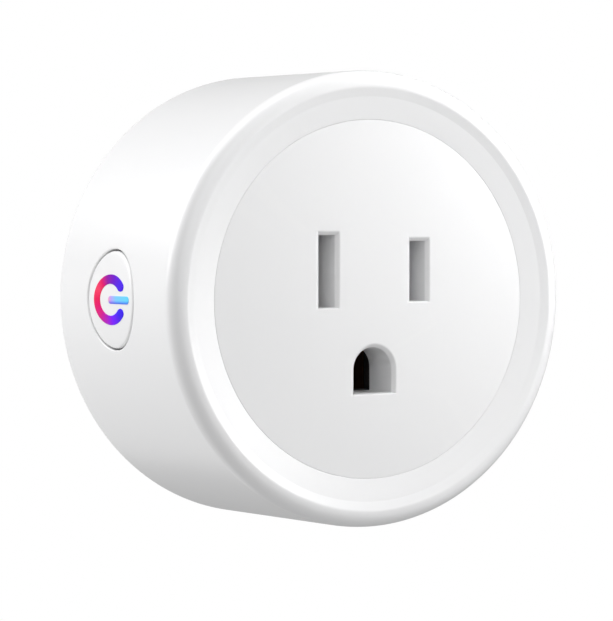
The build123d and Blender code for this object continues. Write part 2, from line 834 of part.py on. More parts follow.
stem_end_x = switch_top_x - plunger_rise - slip
with BuildPart() as button_cap:
    with BuildSketch(sideways(cap_back_x)):
        with Locations((-button_y, 0)):
            Circle(cap_radius)
    extrude(amount=rear_radius)
    add(barrel_solid(0), mode=Mode.INTERSECT)
    with BuildSketch(sideways(cap_back_x)):
        with Locations((-button_y, 0)):
            Circle(cap_flange_radius)
    extrude(amount=cap_flange_thickness)
    with BuildSketch(sideways(cap_back_x)):
        with Locations((-button_y, 0)):
            Circle(cap_bore_radius)
    extrude(amount=cap_back_x - cap_inside_x, mode=Mode.SUBTRACT)
    with BuildSketch(sideways(cap_inside_x)):
        with Locations((-button_y, 0)):
            add(icon_outline(slip))
    extrude(amount=rear_radius, mode=Mode.SUBTRACT)
    with BuildSketch(sideways(stem_end_x)):
        with Locations((-button_y, 0)):
            Circle(cap_stem_radius)
    extrude(amount=stem_end_x - cap_inside_x)

with BuildPart() as power_icon:
    with BuildSketch(sideways(cap_inside_x)):
        with Locations((-button_y, 0)):
            add(icon_outline(0))
    extrude(amount=rear_radius)
    add(barrel_solid(0), mode=Mode.INTERSECT)
    with BuildSketch(sideways(cap_inside_x + icon_plate)):
        with Locations((-button_y, 0)):
            Circle(cap_bore_radius - slip)
            Circle(cap_stem_radius + slip, mode=Mode.SUBTRACT)
    extrude(amount=icon_plate)

# ---- Written pieces ----
pieces = {
    "housing_shell": housing_shell,
    "face_plate": face_plate,
    "rear_cover": rear_cover,
    "rear_screws": rear_screws,
    "line_blade": line_blade,
    "neutral_blade": neutral_blade,
    "ground_pin": ground_pin,
    "contact_carrier": contact_carrier,
    "line_contact": line_contact,
    "neutral_contact": neutral_contact,
    "ground_contact": ground_contact,
    "ground_strap": ground_strap,
    "main_board": main_board,
    "relay_base": relay_base,
    "relay_case": relay_case,
    "relay_bobbin": relay_bobbin,
    "relay_winding": relay_winding,
    "relay_core": relay_core,
    "relay_yoke": relay_yoke,
    "relay_armature": relay_armature,
    "relay_contact_spring": relay_contact_spring,
    "relay_fixed_contact": relay_fixed_contact,
    "filter_capacitor": filter_capacitor,
    "output_capacitor": output_capacitor,
    "fusible_resistor": fusible_resistor,
    "inductor_core": inductor_core,
    "inductor_winding": inductor_winding,
    "varistor": varistor,
    "bridge_rectifier": bridge_rectifier,
    "regulator_chip": regulator_chip,
    "wifi_board": wifi_board,
    "wifi_shield": wifi_shield,
    "wifi_header": wifi_header,
    "button_board": button_board,
    "tact_switch_body": tact_switch_body,
    "tact_switch_plunger": tact_switch_plunger,
    "tact_dome": tact_dome,
    "status_leds": status_leds,
    "button_cap": button_cap,
    "power_icon": power_icon,
}
for name, piece in pieces.items():
    piece.part.label = name
    export_step(piece.part, f"parts/{name}.step")
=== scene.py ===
import json
import math
import bmesh
import bpy
import numpy as np
from mathutils import Matrix, Vector


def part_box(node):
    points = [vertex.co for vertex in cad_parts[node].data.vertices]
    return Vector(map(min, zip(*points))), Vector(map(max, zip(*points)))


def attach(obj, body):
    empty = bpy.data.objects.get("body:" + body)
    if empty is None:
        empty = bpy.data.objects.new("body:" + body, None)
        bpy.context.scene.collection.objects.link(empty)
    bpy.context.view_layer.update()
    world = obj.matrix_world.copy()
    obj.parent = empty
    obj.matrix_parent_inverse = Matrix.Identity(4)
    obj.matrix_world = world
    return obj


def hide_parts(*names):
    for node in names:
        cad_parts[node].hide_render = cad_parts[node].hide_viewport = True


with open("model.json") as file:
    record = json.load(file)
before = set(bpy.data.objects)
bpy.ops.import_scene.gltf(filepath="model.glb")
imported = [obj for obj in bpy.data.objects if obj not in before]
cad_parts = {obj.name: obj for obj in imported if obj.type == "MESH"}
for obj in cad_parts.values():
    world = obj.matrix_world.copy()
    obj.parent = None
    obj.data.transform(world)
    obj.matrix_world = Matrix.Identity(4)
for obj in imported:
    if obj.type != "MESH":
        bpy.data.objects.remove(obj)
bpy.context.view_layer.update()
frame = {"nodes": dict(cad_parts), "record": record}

mm = 0.001
nodes = frame["nodes"]
print("frame loaded:", len(nodes), "nodes")


def boxOf(node):
    # the lower and upper corners of a node's box, in millimetres
    return [np.array(corner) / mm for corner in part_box(node)]


# places read from the frame, in millimetres
shellLow, shellHigh = boxOf("housing_shell")
plateLow, plateHigh = boxOf("face_plate")
coverHigh = boxOf("rear_cover")[1]
capLow, capHigh = boxOf("button_cap")
neutralLow, neutralHigh = boxOf("neutral_blade")
lineLow, lineHigh = boxOf("line_blade")
pinLow, pinHigh = boxOf("ground_pin")
screwsLow, screwsHigh = boxOf("rear_screws")

faceY = plateLow[1]                                   # the flat socket face
rearRadius = shellHigh[2]                             # barrel at the wall
bladeX = (lineLow[0] + lineHigh[0]) / 2               # the blades stand at plus and minus this
bladeZ = (lineLow[2] + lineHigh[2]) / 2
groundZ = (pinLow[2] + pinHigh[2]) / 2
buttonY = (capLow[1] + capHigh[1]) / 2
coverInnerY = coverHigh[1] - 3.0                      # inner face of the 3 mm plate of the rear cover
screwHead = 2.4                                       # radius of the rear screws' heads
postX, postZ = (screwsHigh[[0, 2]] - screwsLow[[0, 2]]) / 2 - screwHead


# shapes: grids of points worked out as whole arrays
def roundedOutline(corners, radii, steps=8):
    # Each corner is cut back along both its sides by radius / tan(half its angle). Between the two
    # cut points runs an arc about the corner's own centre, swung evenly from one to the other.
    corners = np.asarray(corners, float)
    radii = np.broadcast_to(np.asarray(radii, float), len(corners))[:, None]
    back = np.roll(corners, 1, 0) - corners
    ahead = np.roll(corners, -1, 0) - corners
    back /= np.linalg.norm(back, axis=1, keepdims=True)
    ahead /= np.linalg.norm(ahead, axis=1, keepdims=True)
    half = np.arccos(np.clip((back * ahead).sum(1, keepdims=True), -1, 1)) / 2
    middle = (back + ahead) / np.linalg.norm(back + ahead, axis=1, keepdims=True)
    centre = corners + middle * radii / np.sin(half)
    start = (corners + back * radii / np.tan(half) - centre)[:, None]
    end = (corners + ahead * radii / np.tan(half) - centre)[:, None]
    swing = (np.pi - 2 * half)[:, None]
    t = np.linspace(0, 1, steps)[None, :, None]
    return centre[:, None] + (np.sin((1 - t) * swing) * start + np.sin(t * swing) * end) / np.sin(swing)


def sidesOf(corners, counts):
    # straight sides in turn: each point is the start plus an even share of the way to the end
    corners = np.asarray(corners, float)
    ends = np.roll(corners, -1, 0)
    return np.concatenate([start + (end - start) * np.linspace(0, 1, n, endpoint=False)[:, None]
                           for start, end, n in zip(corners, ends, counts)])


def turned(profile, turn, centre=(0.0, 0.0)):
    # a profile of (radius, y) carried round an axis along Y: x is radius cos turn, z is radius sin turn
    radius, y = profile[:, 0, None], profile[:, 1, None]
    return np.stack([centre[0] + radius * np.cos(turn), y + 0 * turn, centre[1] + radius * np.sin(turn)], -1)


def fullTurn(segments):
    # evenly spaced angles from 0 up to, not including, a whole turn
    return np.arange(segments) * 2 * np.pi / segments


def atHeight(outline, y):
    # a flat (x, z) outline stood at one y
    return np.stack([outline[:, 0], np.full(len(outline), y), outline[:, 1]], -1)


def towardAxis(outline, share):
    # the outline drawn in towards its middle, down to a point at share 0
    middle = outline.mean(0)
    return middle + (outline - middle) * share


def quadsOf(rows, columns, closeRows, closeColumns):
    # the grid's point (i, j) is number i columns + j, and each face joins it to the next row and column
    i = np.arange(rows if closeRows else rows - 1)[:, None]
    j = np.arange(columns if closeColumns else columns - 1)[None, :]
    below, beside = (i + 1) % rows, (j + 1) % columns
    quads = np.stack([i * columns + j, i * columns + beside,
                      below * columns + beside, below * columns + j], -1)
    return quads.reshape(-1, 4)


def makePiece(name, patches, body, slotName, replaced=(), sharpAngle=50, weld=0.0015):
    # patches are (grid of points in mm, last row joins first, last column joins first)
    points = np.concatenate([grid.reshape(-1, 3) for grid, closeRows, closeColumns in patches])
    starts = np.cumsum([0] + [grid.shape[0] * grid.shape[1] for grid, closeRows, closeColumns in patches])
    faces = np.concatenate([quadsOf(grid.shape[0], grid.shape[1], closeRows, closeColumns) + start
                            for (grid, closeRows, closeColumns), start in zip(patches, starts)])
    mesh = bpy.data.meshes.new(name)
    mesh.from_pydata((points * mm).tolist(), [], faces.tolist())
    shape = bmesh.new()
    shape.from_mesh(mesh)
    bmesh.ops.remove_doubles(shape, verts=shape.verts, dist=weld * mm)
    bmesh.ops.recalc_face_normals(shape, faces=shape.faces)
    openEdges = sum(not edge.is_manifold for edge in shape.edges)
    shape.to_mesh(mesh)
    shape.free()
    mesh.polygons.foreach_set("use_smooth", np.ones(len(mesh.polygons), bool))
    mesh.set_sharp_from_angle(angle=math.radians(sharpAngle))
    mesh.materials.append(finishes[slotName])
    piece = bpy.data.objects.new(name, mesh)
    bpy.context.scene.collection.objects.link(piece)
    even = piece.modifiers.new("evenShading", "WEIGHTED_NORMAL")
    even.keep_sharp = True
    even.weight = 80
    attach(piece, body)
    if replaced:
        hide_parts(*replaced)
    print("piece", name, len(mesh.polygons), "faces", openEdges, "open edges")
    return piece


# finishes
def newMaterial(name):
    material = bpy.data.materials.new(name)
    material.use_nodes = True
    tree = material.node_tree
    return material, tree, tree.nodes["Principled BSDF"]


def addNode(tree, kind, **settings):
    node = tree.nodes.new(kind)
    for key, value in settings.items():
        if key in node.inputs:
            node.inputs[key].default_value = value
        else:
            setattr(node, key, value)
    return node


def noiseOn(tree, vector, scale, detail=3.0, stretch=(1.0, 1.0, 1.0)):
    place = addNode(tree, "ShaderNodeMapping", Scale=stretch)
    tree.links.new(vector, place.inputs["Vector"])
    noise = addNode(tree, "ShaderNodeTexNoise", Scale=scale, Detail=detail)
    tree.links.new(place.outputs["Vector"], noise.inputs["Vector"])
    return noise.outputs["Fac"]


def wavesOn(tree, vector, scale, direction, distortion=0.0):
    wave = addNode(tree, "ShaderNodeTexWave", bands_direction=direction, Scale=scale, Distortion=distortion)
    tree.links.new(vector, wave.inputs["Vector"])
    return wave.outputs["Fac"]


def spread(tree, value, low, high, fromLow=0.3, fromHigh=0.7):
    ramp = addNode(tree, "ShaderNodeMapRange")
    for socket, amount in (("From Min", fromLow), ("From Max", fromHigh), ("To Min", low), ("To Max", high)):
        ramp.inputs[socket].default_value = amount
    tree.links.new(value, ramp.inputs["Value"])
    return ramp.outputs["Result"]


def arithmetic(tree, operation, first, second):
    step = addNode(tree, "ShaderNodeMath", operation=operation)
    for socket, value in zip(step.inputs, (first, second)):
        if isinstance(value, (int, float)):
            socket.default_value = value
        else:
            tree.links.new(value, socket)
    return step.outputs[0]


def mixColours(tree, factor, first, second):
    mix = addNode(tree, "ShaderNodeMix", data_type="RGBA")
    tree.links.new(factor, mix.inputs[0])
    for socket, colour in ((mix.inputs[6], first), (mix.inputs[7], second)):
        if isinstance(colour, tuple):
            socket.default_value = colour + (1.0,)
        else:
            tree.links.new(colour, socket)
    return mix.outputs[2]


def bumpFrom(tree, height, shader, strength, depth):
    bump = addNode(tree, "ShaderNodeBump", Strength=strength, Distance=depth * mm)
    tree.links.new(height, bump.inputs["Height"])
    tree.links.new(bump.outputs["Normal"], shader.inputs["Normal"])


def edgesOf(tree):
    # 0 on flats and in hollows, 1 on outer edges, where hands and tools rub
    return spread(tree, addNode(tree, "ShaderNodeNewGeometry").outputs["Pointiness"], 0.0, 1.0, 0.51, 0.58)


def mouldedPlastic(name, look):
    # a slow tint drift, a roughness drift, a fine spark-eroded grain, and edges rubbed smoother
    material, tree, shader = newMaterial(name)
    place = addNode(tree, "ShaderNodeTexCoord").outputs["Object"]
    drift = noiseOn(tree, place, look["driftScale"])
    grain = noiseOn(tree, place, look["grainScale"], 4.0)
    rubbed = edgesOf(tree)
    tint = mixColours(tree, spread(tree, drift, 0.0, 1.0), look["colour"], look["tint"])
    worn = mixColours(tree, arithmetic(tree, "MULTIPLY", rubbed, look["wear"]), tint, look["wornColour"])
    tree.links.new(worn, shader.inputs["Base Color"])
    dull = spread(tree, drift, *look["roughness"])
    shine = arithmetic(tree, "MULTIPLY", rubbed, look["polish"])
    tree.links.new(arithmetic(tree, "SUBTRACT", dull, shine), shader.inputs["Roughness"])
    bumpFrom(tree, grain, shader, look["grain"], look["grainDepth"])
    shader.inputs["IOR"].default_value = look["ior"]
    shader.inputs["Coat Weight"].default_value = look.get("coat", 0.0)
    shader.inputs["Coat Roughness"].default_value = look.get("coatRoughness", 0.2)
    return material


def stampedMetal(name, look):
    # rolled strip: long fine scratches one way, cloudy tarnish, and brighter rubbed edges
    material, tree, shader = newMaterial(name)
    place = addNode(tree, "ShaderNodeTexCoord").outputs["Object"]
    cloud = noiseOn(tree, place, look["cloudScale"], 5.0)
    scratches = noiseOn(tree, place, look["scratchScale"], 3.0, look["scratchRun"])
    tint = mixColours(tree, spread(tree, cloud, 0.0, 1.0), look["colour"], look["tarnish"])
    rubbed = arithmetic(tree, "MULTIPLY", edgesOf(tree), look["wear"])
    tree.links.new(mixColours(tree, rubbed, tint, look["wornColour"]), shader.inputs["Base Color"])
    halves = [arithmetic(tree, "MULTIPLY", pattern, 0.5) for pattern in (cloud, scratches)]
    mixed = arithmetic(tree, "ADD", *halves)
    tree.links.new(spread(tree, mixed, *look["roughness"]), shader.inputs["Roughness"])
    bumpFrom(tree, scratches, shader, look["scratch"], look["scratchDepth"])
    shader.inputs["Metallic"].default_value = 1.0
    return material


def wovenLaminate(name, look):
    # glass cloth under lacquer: two crossing sets of threads, seen as a faint weave in tint and bump
    material, tree, shader = newMaterial(name)
    place = addNode(tree, "ShaderNodeTexCoord").outputs["Object"]
    across, along = [wavesOn(tree, place, look["weaveScale"], direction, look["waver"])
                     for direction in look["threads"]]
    weave = arithmetic(tree, "MULTIPLY", across, along)
    drift = noiseOn(tree, place, look["driftScale"])
    tint = mixColours(tree, spread(tree, drift, 0.0, 1.0), look["colour"], look["tint"])
    cloth = mixColours(tree, arithmetic(tree, "MULTIPLY", weave, look["threadShare"]), tint, look["thread"])
    tree.links.new(cloth, shader.inputs["Base Color"])
    tree.links.new(spread(tree, drift, *look["roughness"]), shader.inputs["Roughness"])
    bumpFrom(tree, weave, shader, look["relief"], look["reliefDepth"])
    shader.inputs["Coat Weight"].default_value = look["lacquer"]
    return material


def fromScreen(red, green, blue):
    # a colour as a screen shows it, 0 to 255, turned into the renderer's even scale of light
    return tuple((c / 255) ** 2.2 for c in (red, green, blue))


def rampOf(tree, value, stops):
    ramp = addNode(tree, "ShaderNodeValToRGB")
    tree.links.new(value, ramp.inputs["Fac"])
    stopsLeft = ramp.color_ramp.elements
    while len(stopsLeft) < len(stops):
        stopsLeft.new(0.5)
    for stop, (position, colour) in zip(stopsLeft, stops):
        stop.position = position
        stop.color = fromScreen(*colour) + (1.0,)
    return ramp.outputs["Color"]


guide = dict(glow=0.12, specular=0.05, frostScale=900.0, roughness=(0.3, 0.42), frost=0.1, frostDepth=0.02,
             barBack=-0.4, barFront=4.8, barHalfWidth=0.52, underside=(52, 60, 232))


def glowingGuide(name, isRing, stopsAlong):
    # a lit light guide: the colour runs round the symbol, or along the bar, with a slightly frosted skin
    material, tree, shader = newMaterial(name)
    place = addNode(tree, "ShaderNodeTexCoord").outputs["Object"]
    parts = addNode(tree, "ShaderNodeSeparateXYZ")
    tree.links.new(place, parts.inputs[0])
    behind = arithmetic(tree, "SUBTRACT", parts.outputs["Y"], buttonY * mm)
    front = arithmetic(tree, "MULTIPLY", behind, -1 / mm)
    up = arithmetic(tree, "MULTIPLY", parts.outputs["Z"], 1 / mm)
    if isRing:
        angle = arithmetic(tree, "ARCTAN2", up, front)
        colour = rampOf(tree, spread(tree, angle, 0.0, 1.0, -math.pi, math.pi), stopsAlong)
    else:
        share = spread(tree, front, 0.0, 1.0, guide["barBack"], guide["barFront"])
        edge = spread(tree, up, 1.0, 0.0, -guide["barHalfWidth"], -0.1 * guide["barHalfWidth"])
        colour = mixColours(tree, edge, rampOf(tree, share, stopsAlong), fromScreen(*guide["underside"]))
    frost = noiseOn(tree, place, guide["frostScale"])
    tree.links.new(colour, shader.inputs["Base Color"])
    tree.links.new(colour, shader.inputs["Emission Color"])
    tree.links.new(spread(tree, frost, *guide["roughness"]), shader.inputs["Roughness"])
    bumpFrom(tree, frost, shader, guide["frost"], guide["frostDepth"])
    shader.inputs["Emission Strength"].default_value = guide["glow"]
    shader.inputs["Specular IOR Level"].default_value = guide["specular"]
    return material


whitePlastic = dict(colour=(0.86, 0.86, 0.865), tint=(0.848, 0.849, 0.856), driftScale=45.0, wear=0.25,
                    wornColour=(0.88, 0.88, 0.88), polish=0.1, grainScale=5200.0, grain=0.1,
                    grainDepth=0.004, roughness=(0.40, 0.48), ior=1.5, coat=0.8, coatRoughness=0.24)


# looks shared by the mouldings and by the metals: a plain colour and roughness, and the rest follows
def plasticLike(colour, roughness, grainScale=3500.0, wear=0.3):
    tint = tuple(0.8 * c for c in colour)
    worn = tuple(min(1.0, 1.25 * c + 0.02) for c in colour)
    return dict(colour=colour, tint=tint, driftScale=90.0, wear=wear, wornColour=worn, polish=0.12,
                grainScale=grainScale, grain=0.2, grainDepth=0.02, roughness=roughness, ior=1.5)


def metalLike(colour, roughness, run=(1.0, 0.06, 1.0), tarnish=0.72):
    return dict(colour=colour, tarnish=tuple(tarnish * c for c in colour), cloudScale=160.0, wear=0.6,
                wornColour=tuple(min(1.0, 1.15 * c) for c in colour), scratchScale=4200.0, scratchRun=run,
                scratch=0.18, scratchDepth=0.01, roughness=roughness)


glassCloth = dict(weaveScale=700.0, waver=0.4, threadShare=0.35, driftScale=120.0, roughness=(0.24, 0.36),
                  relief=0.25, reliefDepth=0.01, lacquer=0.4)

finishes = {
    "housing_plastic": mouldedPlastic("housingPlastic", whitePlastic),
    "face_plastic": mouldedPlastic("facePlastic", whitePlastic),
    "cap_plastic": mouldedPlastic("capPlastic", whitePlastic),
    "carrier_plastic": mouldedPlastic("carrierPlastic", plasticLike((0.016, 0.015, 0.015), (0.5, 0.65))),
    "relay_plastic": mouldedPlastic("relayPlastic", plasticLike((0.03, 0.09, 0.42), (0.35, 0.5))),
    "bobbin_plastic": mouldedPlastic("bobbinPlastic", plasticLike((0.72, 0.69, 0.60), (0.45, 0.6))),
    "sleeve_black": mouldedPlastic("shrinkSleeve", plasticLike((0.018, 0.018, 0.024), (0.22, 0.34), 1200.0)),
    "ferrite": mouldedPlastic("ferrite", plasticLike((0.045, 0.045, 0.05), (0.6, 0.8), 2400.0, 0.5)),
    "varistor_coat": mouldedPlastic("varistorCoat", plasticLike((0.05, 0.16, 0.45), (0.3, 0.45), 1500.0)),
    "resistor_coat": mouldedPlastic("resistorCoat", plasticLike((0.16, 0.32, 0.22), (0.5, 0.7), 2600.0)),
    "chip_black": mouldedPlastic("chipBlack", plasticLike((0.02, 0.02, 0.021), (0.5, 0.62), 6000.0)),
    "switch_black": mouldedPlastic("switchBlack", plasticLike((0.028, 0.028, 0.03), (0.4, 0.52))),
    "led_resin": mouldedPlastic("ledResin", plasticLike((0.85, 0.80, 0.55), (0.1, 0.2), 800.0)),
    "blade_brass": stampedMetal("platedBrass", metalLike((0.72, 0.69, 0.61), (0.18, 0.34))),
    "contact_copper": stampedMetal("contactCopper", metalLike((0.28, 0.16, 0.09), (0.3, 0.46))),
    "screw_steel": stampedMetal("screwSteel", metalLike((0.56, 0.57, 0.58), (0.25, 0.4), (1.0, 1.0, 0.1))),
    "copper_wire": stampedMetal("copperWire", metalLike((0.66, 0.24, 0.07), (0.2, 0.34), (0.2, 1.0, 0.2))),
    "relay_iron": stampedMetal("relayIron", metalLike((0.42, 0.42, 0.43), (0.35, 0.55))),
    "spring_bronze": stampedMetal("springBronze",
                                  metalLike((0.74, 0.50, 0.26), (0.2, 0.35), (0.06, 1.0, 1.0))),
    "can_aluminium": stampedMetal("canAluminium",
                                  metalLike((0.74, 0.75, 0.77), (0.25, 0.4), (0.1, 1.0, 0.1))),
    "shield_tin": stampedMetal("shieldTin", metalLike((0.66, 0.67, 0.68), (0.22, 0.38), (1.0, 0.08, 1.0))),
    "dome_steel": stampedMetal("domeSteel", metalLike((0.62, 0.62, 0.63), (0.15, 0.28), (1.0, 1.0, 0.15))),
    "board_laminate": wovenLaminate("boardLaminate", dict(
        glassCloth, colour=(0.02, 0.17, 0.06), tint=(0.015, 0.13, 0.045), thread=(0.05, 0.28, 0.11),
        threads=("X", "Z"))),
    "radio_laminate": wovenLaminate("radioLaminate", dict(
        glassCloth, colour=(0.012, 0.03, 0.12), tint=(0.01, 0.022, 0.09), thread=(0.03, 0.07, 0.2),
        threads=("Y", "Z"))),
}
# the ring's colours, from the back of the symbol under it, round its open front and over its top
ringStops = [(0.00, (228, 6, 84)), (0.10, (206, 0, 128)), (0.20, (166, 0, 190)), (0.29, (118, 0, 244)),
             (0.40, (56, 30, 232)), (0.60, (76, 34, 224)), (0.70, (106, 14, 190)), (0.80, (142, 6, 152)),
             (0.88, (220, 20, 96)), (0.94, (236, 60, 96)), (1.00, (228, 6, 84))]
barStops = [(0.0, (236, 150, 190)), (0.16, (176, 160, 240)), (0.4, (120, 196, 246)), (1.0, (98, 206, 250))]
finishes["light_guide"] = glowingGuide("ringLight", True, ringStops)
barLight = glowingGuide("barLight", False, barStops)

slotOf = {row["node"]: row["material_slot"] for row in frame["record"]["subparts"]}
for nodeName, node in nodes.items():
    node.data.materials.clear()
    node.data.materials.append(finishes[slotOf[nodeName]])
print("finishes made:", len(finishes) + 1)

# housing shell: the barrel, its rolled lip and sloping ring, and the button's round hole
shell = dict(
    frontRadius=27.2, wall=2.2, lipWidth=3.12, lipRound=1.8, lipSlope=1.1,
    bandWidth=2.68, bandRise=0.55, ledgeWidth=1.4, ledgeThickness=1.6, plateThickness=2.2,
    grooveWall=1.6, grooveRoof=2.0, rimWall=1.3, rearRound=0.5, holeRadius=6.0, holeRim=0.22, holeBack=0.1,
    segments=256, patchHalf=12, patchReach=8.2,
    crestRound=0.9, bandRound=0.5, plateEdge=0.06, insideRound=0.1, ledgeRound=0.2, grooveRound=0.3,
    recessRound=0.12, arcSteps=10, patchRings=9, rimSteps=7,
)


def outerRadius(y):
    # the barrel widens evenly from the socket face to the wall
    return rearRadius - (rearRadius - shell["frontRadius"]) * y / faceY


def barrelX(y, z, wall=0.0):
    # the barrel's left side: minus the root of radius squared less z squared
    return -np.sqrt((outerRadius(y) - wall) ** 2 - z ** 2)


def makeShell():
    # The barrel is a (radius, y) profile with rounded corners, turned about Y. Round the button the
    # turned surface leaves out a square, and a patch of rings fills it: each ring is an even share of
    # the way from the square's rim to the round hole, put on the barrel by its own x.
    wall = shell["wall"]
    crestY, coverY = shellLow[1], coverInnerY
    bandRadius = shell["frontRadius"] - shell["lipWidth"]
    openingRadius = bandRadius - shell["bandWidth"]
    plateBack = faceY + shell["plateThickness"]
    ledgeBack = plateBack + shell["ledgeThickness"]
    ledgeRadius = openingRadius - shell["ledgeWidth"]
    grooveRadius, grooveY = openingRadius + shell["grooveWall"], faceY + shell["grooveRoof"]
    recessRadius = rearRadius - shell["rimWall"]
    corners = [
        (outerRadius(crestY), crestY, shell["lipRound"]),
        (bandRadius + shell["lipSlope"], crestY, shell["crestRound"]),
        (bandRadius, faceY - shell["bandRise"], shell["bandRound"]),
        (openingRadius, faceY, shell["plateEdge"]),
        (openingRadius, plateBack, shell["insideRound"]),
        (ledgeRadius, plateBack, shell["insideRound"]),
        (ledgeRadius, ledgeBack, shell["ledgeRound"]),
        (grooveRadius, ledgeBack, shell["ledgeRound"]),
        (grooveRadius, grooveY, shell["grooveRound"]),
        (outerRadius(grooveY) - wall, grooveY, shell["grooveRound"]),
        (outerRadius(coverY) - wall, coverY, shell["insideRound"]),
        (recessRadius, coverY, shell["insideRound"]),
        (recessRadius, 0.0, shell["recessRound"]),
        (rearRadius, 0.0, shell["rearRound"]),
    ]
    table = np.array(corners, float)
    arcs = roundedOutline(table[:, :2], table[:, 2], shell["arcSteps"])
    # the first ten corners face the front, and the last four are the recess for the cover
    frontPart, rearPart = arcs[:10].reshape(-1, 2), arcs[10:].reshape(-1, 2)
    # rows of the barrel that the button's patch takes part in, front to back
    half, reach = shell["patchHalf"], shell["patchReach"]
    rowY = np.linspace(buttonY - reach, buttonY + reach, 2 * half + 1)
    outside = np.stack([outerRadius(rowY), rowY], 1)
    inside = np.stack([outerRadius(rowY) - wall, rowY], 1)
    step = 2 * np.pi / shell["segments"]
    turn = np.pi + step * np.arange(shell["segments"])
    clear = np.pi + step * np.arange(half, shell["segments"] - half + 1)
    patches = [
        (turned(np.concatenate([outside[:1], frontPart, inside[:1]]), turn), False, True),
        (turned(np.concatenate([inside[-1:], rearPart, outside[-1:]]), turn), False, True),
        (turned(outside, clear), False, False),
        (turned(inside, clear), False, False),
    ]
    # the patch: its square rim of grid points eases into rings about the button's axis
    side = np.arange(-half, half)
    full = np.full(2 * half, half)
    columnAt = np.concatenate([side, full, -side, -full])
    rowAt = np.concatenate([-full, side, full, -side])
    edgeY = buttonY + rowAt * reach / half

    def rings(depthOfWall, rim, shares):
        edgeZ = -(outerRadius(edgeY) - depthOfWall) * np.sin(step * columnAt)
        round_ = np.arctan2(edgeZ, edgeY - buttonY)
        holeY = buttonY + (shell["holeRadius"] + rim) * np.cos(round_)
        holeZ = (shell["holeRadius"] + rim) * np.sin(round_)
        y = edgeY + (holeY - edgeY) * shares
        z = edgeZ + (holeZ - edgeZ) * shares
        flat = np.stack([barrelX(y, z, depthOfWall), y, z], -1)
        bend = np.linspace(0, np.pi / 2, shell["rimSteps"])[1:, None]
        radius = shell["holeRadius"] + rim * (1 - np.sin(bend))
        y, z = buttonY + radius * np.cos(round_), radius * np.sin(round_)
        inward = rim * (1 - np.cos(bend)) * (1 if depthOfWall == 0 else -1)
        return np.concatenate([flat, np.stack([barrelX(y, z, depthOfWall) + inward, y, z], -1)])

    shares = np.linspace(0, 1, shell["patchRings"])[:, None]
    front = rings(0.0, shell["holeRim"], shares)
    rear = rings(wall, shell["holeBack"], shares)
    patches.append((np.concatenate([front, rear[::-1]]), False, True))
    return makePiece("housingShell", patches, "housing", "housing_plastic", ["housing_shell"])


makeShell()

# pierced plates: each hole sits in its own cell, and the cells' outer border eases to a circle
density = 2.4                            # grid points per millimetre along a cell's side


def countOf(length):
    return int(round(length * density))


def slotHole(x, z, width, height, sill=0.0, sillShare=1.0):
    # the sill lowers the hole's bottom side, and its share says how much of the bevel that side gets
    def outline(grow, counts):
        w, top, low = width / 2 + grow, height / 2 + grow, height / 2 + sill + sillShare * grow
        return sidesOf([(x - w, z - low), (x - w, z + top), (x + w, z + top), (x + w, z - low)], counts)
    return outline


def roundHole(x, z, radius):
    def outline(grow, counts):
        # clockwise from the lower left, a quarter turn for each side of the cell
        quarters = [225 - 90 * (k + np.linspace(0, 1, n, endpoint=False)) for k, n in enumerate(counts)]
        angle = np.radians(np.concatenate(quarters))
        return np.stack([x + (radius + grow) * np.cos(angle), z + (radius + grow) * np.sin(angle)], 1)
    return outline


def archHole(x, z, radius, flat, sill, sillShare):
    def outline(grow, counts):
        # up the left side, half a turn over the top, down the right side, back along the flat bottom
        straight = counts[0] // 3
        over = sum(counts[:3]) - 2 * straight
        r, low = radius + grow, -(flat + sill + sillShare * grow)
        rise = low * (1 - np.linspace(0, 1, straight, endpoint=False))
        angle = np.pi * (1 - np.linspace(0, 1, over, endpoint=False))
        left = np.stack([np.full(straight, -r), rise], 1)
        top = np.stack([r * np.cos(angle), r * np.sin(angle)], 1)
        right = np.stack([np.full(straight, r), low * np.linspace(0, 1, straight, endpoint=False)], 1)
        back = r - 2 * r * np.linspace(0, 1, counts[3], endpoint=False)
        bottom = np.stack([back, np.full(counts[3], low)], 1)
        return np.concatenate([left, top, right, bottom]) + [x, z]
    return outline


def openProfile(corners, radii, steps=8):
    # the rounded corners between the first and the last point, which only give directions
    return roundedOutline(corners, radii, steps)[1:-1].reshape(-1, 2)


def piercedPlate(cells, xs, zs, edgeProfile, firstY, lastY):
    # Each row inside a cell is the hole's outline grown by the profile's inset and stood at its y. The
    # first and last rows are the cell's border, and round all the cells a turned profile makes the rim.
    patches = []
    for cell in cells:
        (x0, x1), (z0, z1) = cell["x"], cell["z"]
        counts = (countOf(z1 - z0), countOf(x1 - x0), countOf(z1 - z0), countOf(x1 - x0))
        border = sidesOf([(x0, z0), (x0, z1), (x1, z1), (x1, z0)], counts)
        rows = [atHeight(border, firstY)]
        rows += [atHeight(cell["hole"](grow, counts), y) for grow, y in cell["profile"]]
        rows.append(atHeight(border, lastY))
        patches.append((np.stack(rows), False, True))
    # clockwise round the whole border, through every cell corner on it
    corners = ([(xs[0], z) for z in zs[:-1]] + [(x, zs[-1]) for x in xs[:-1]]
               + [(xs[-1], z) for z in zs[:0:-1]] + [(x, zs[0]) for x in xs[:0:-1]])
    lengths = np.abs(np.roll(corners, -1, 0) - np.array(corners)).sum(1)
    border = sidesOf(corners, [countOf(length) for length in lengths])
    angle = np.arctan2(border[:, 1], border[:, 0])
    rim = turned(edgeProfile, angle)
    rows = np.concatenate([atHeight(border, firstY)[None], rim, atHeight(border, lastY)[None]])
    patches.append((rows, False, True))
    return patches


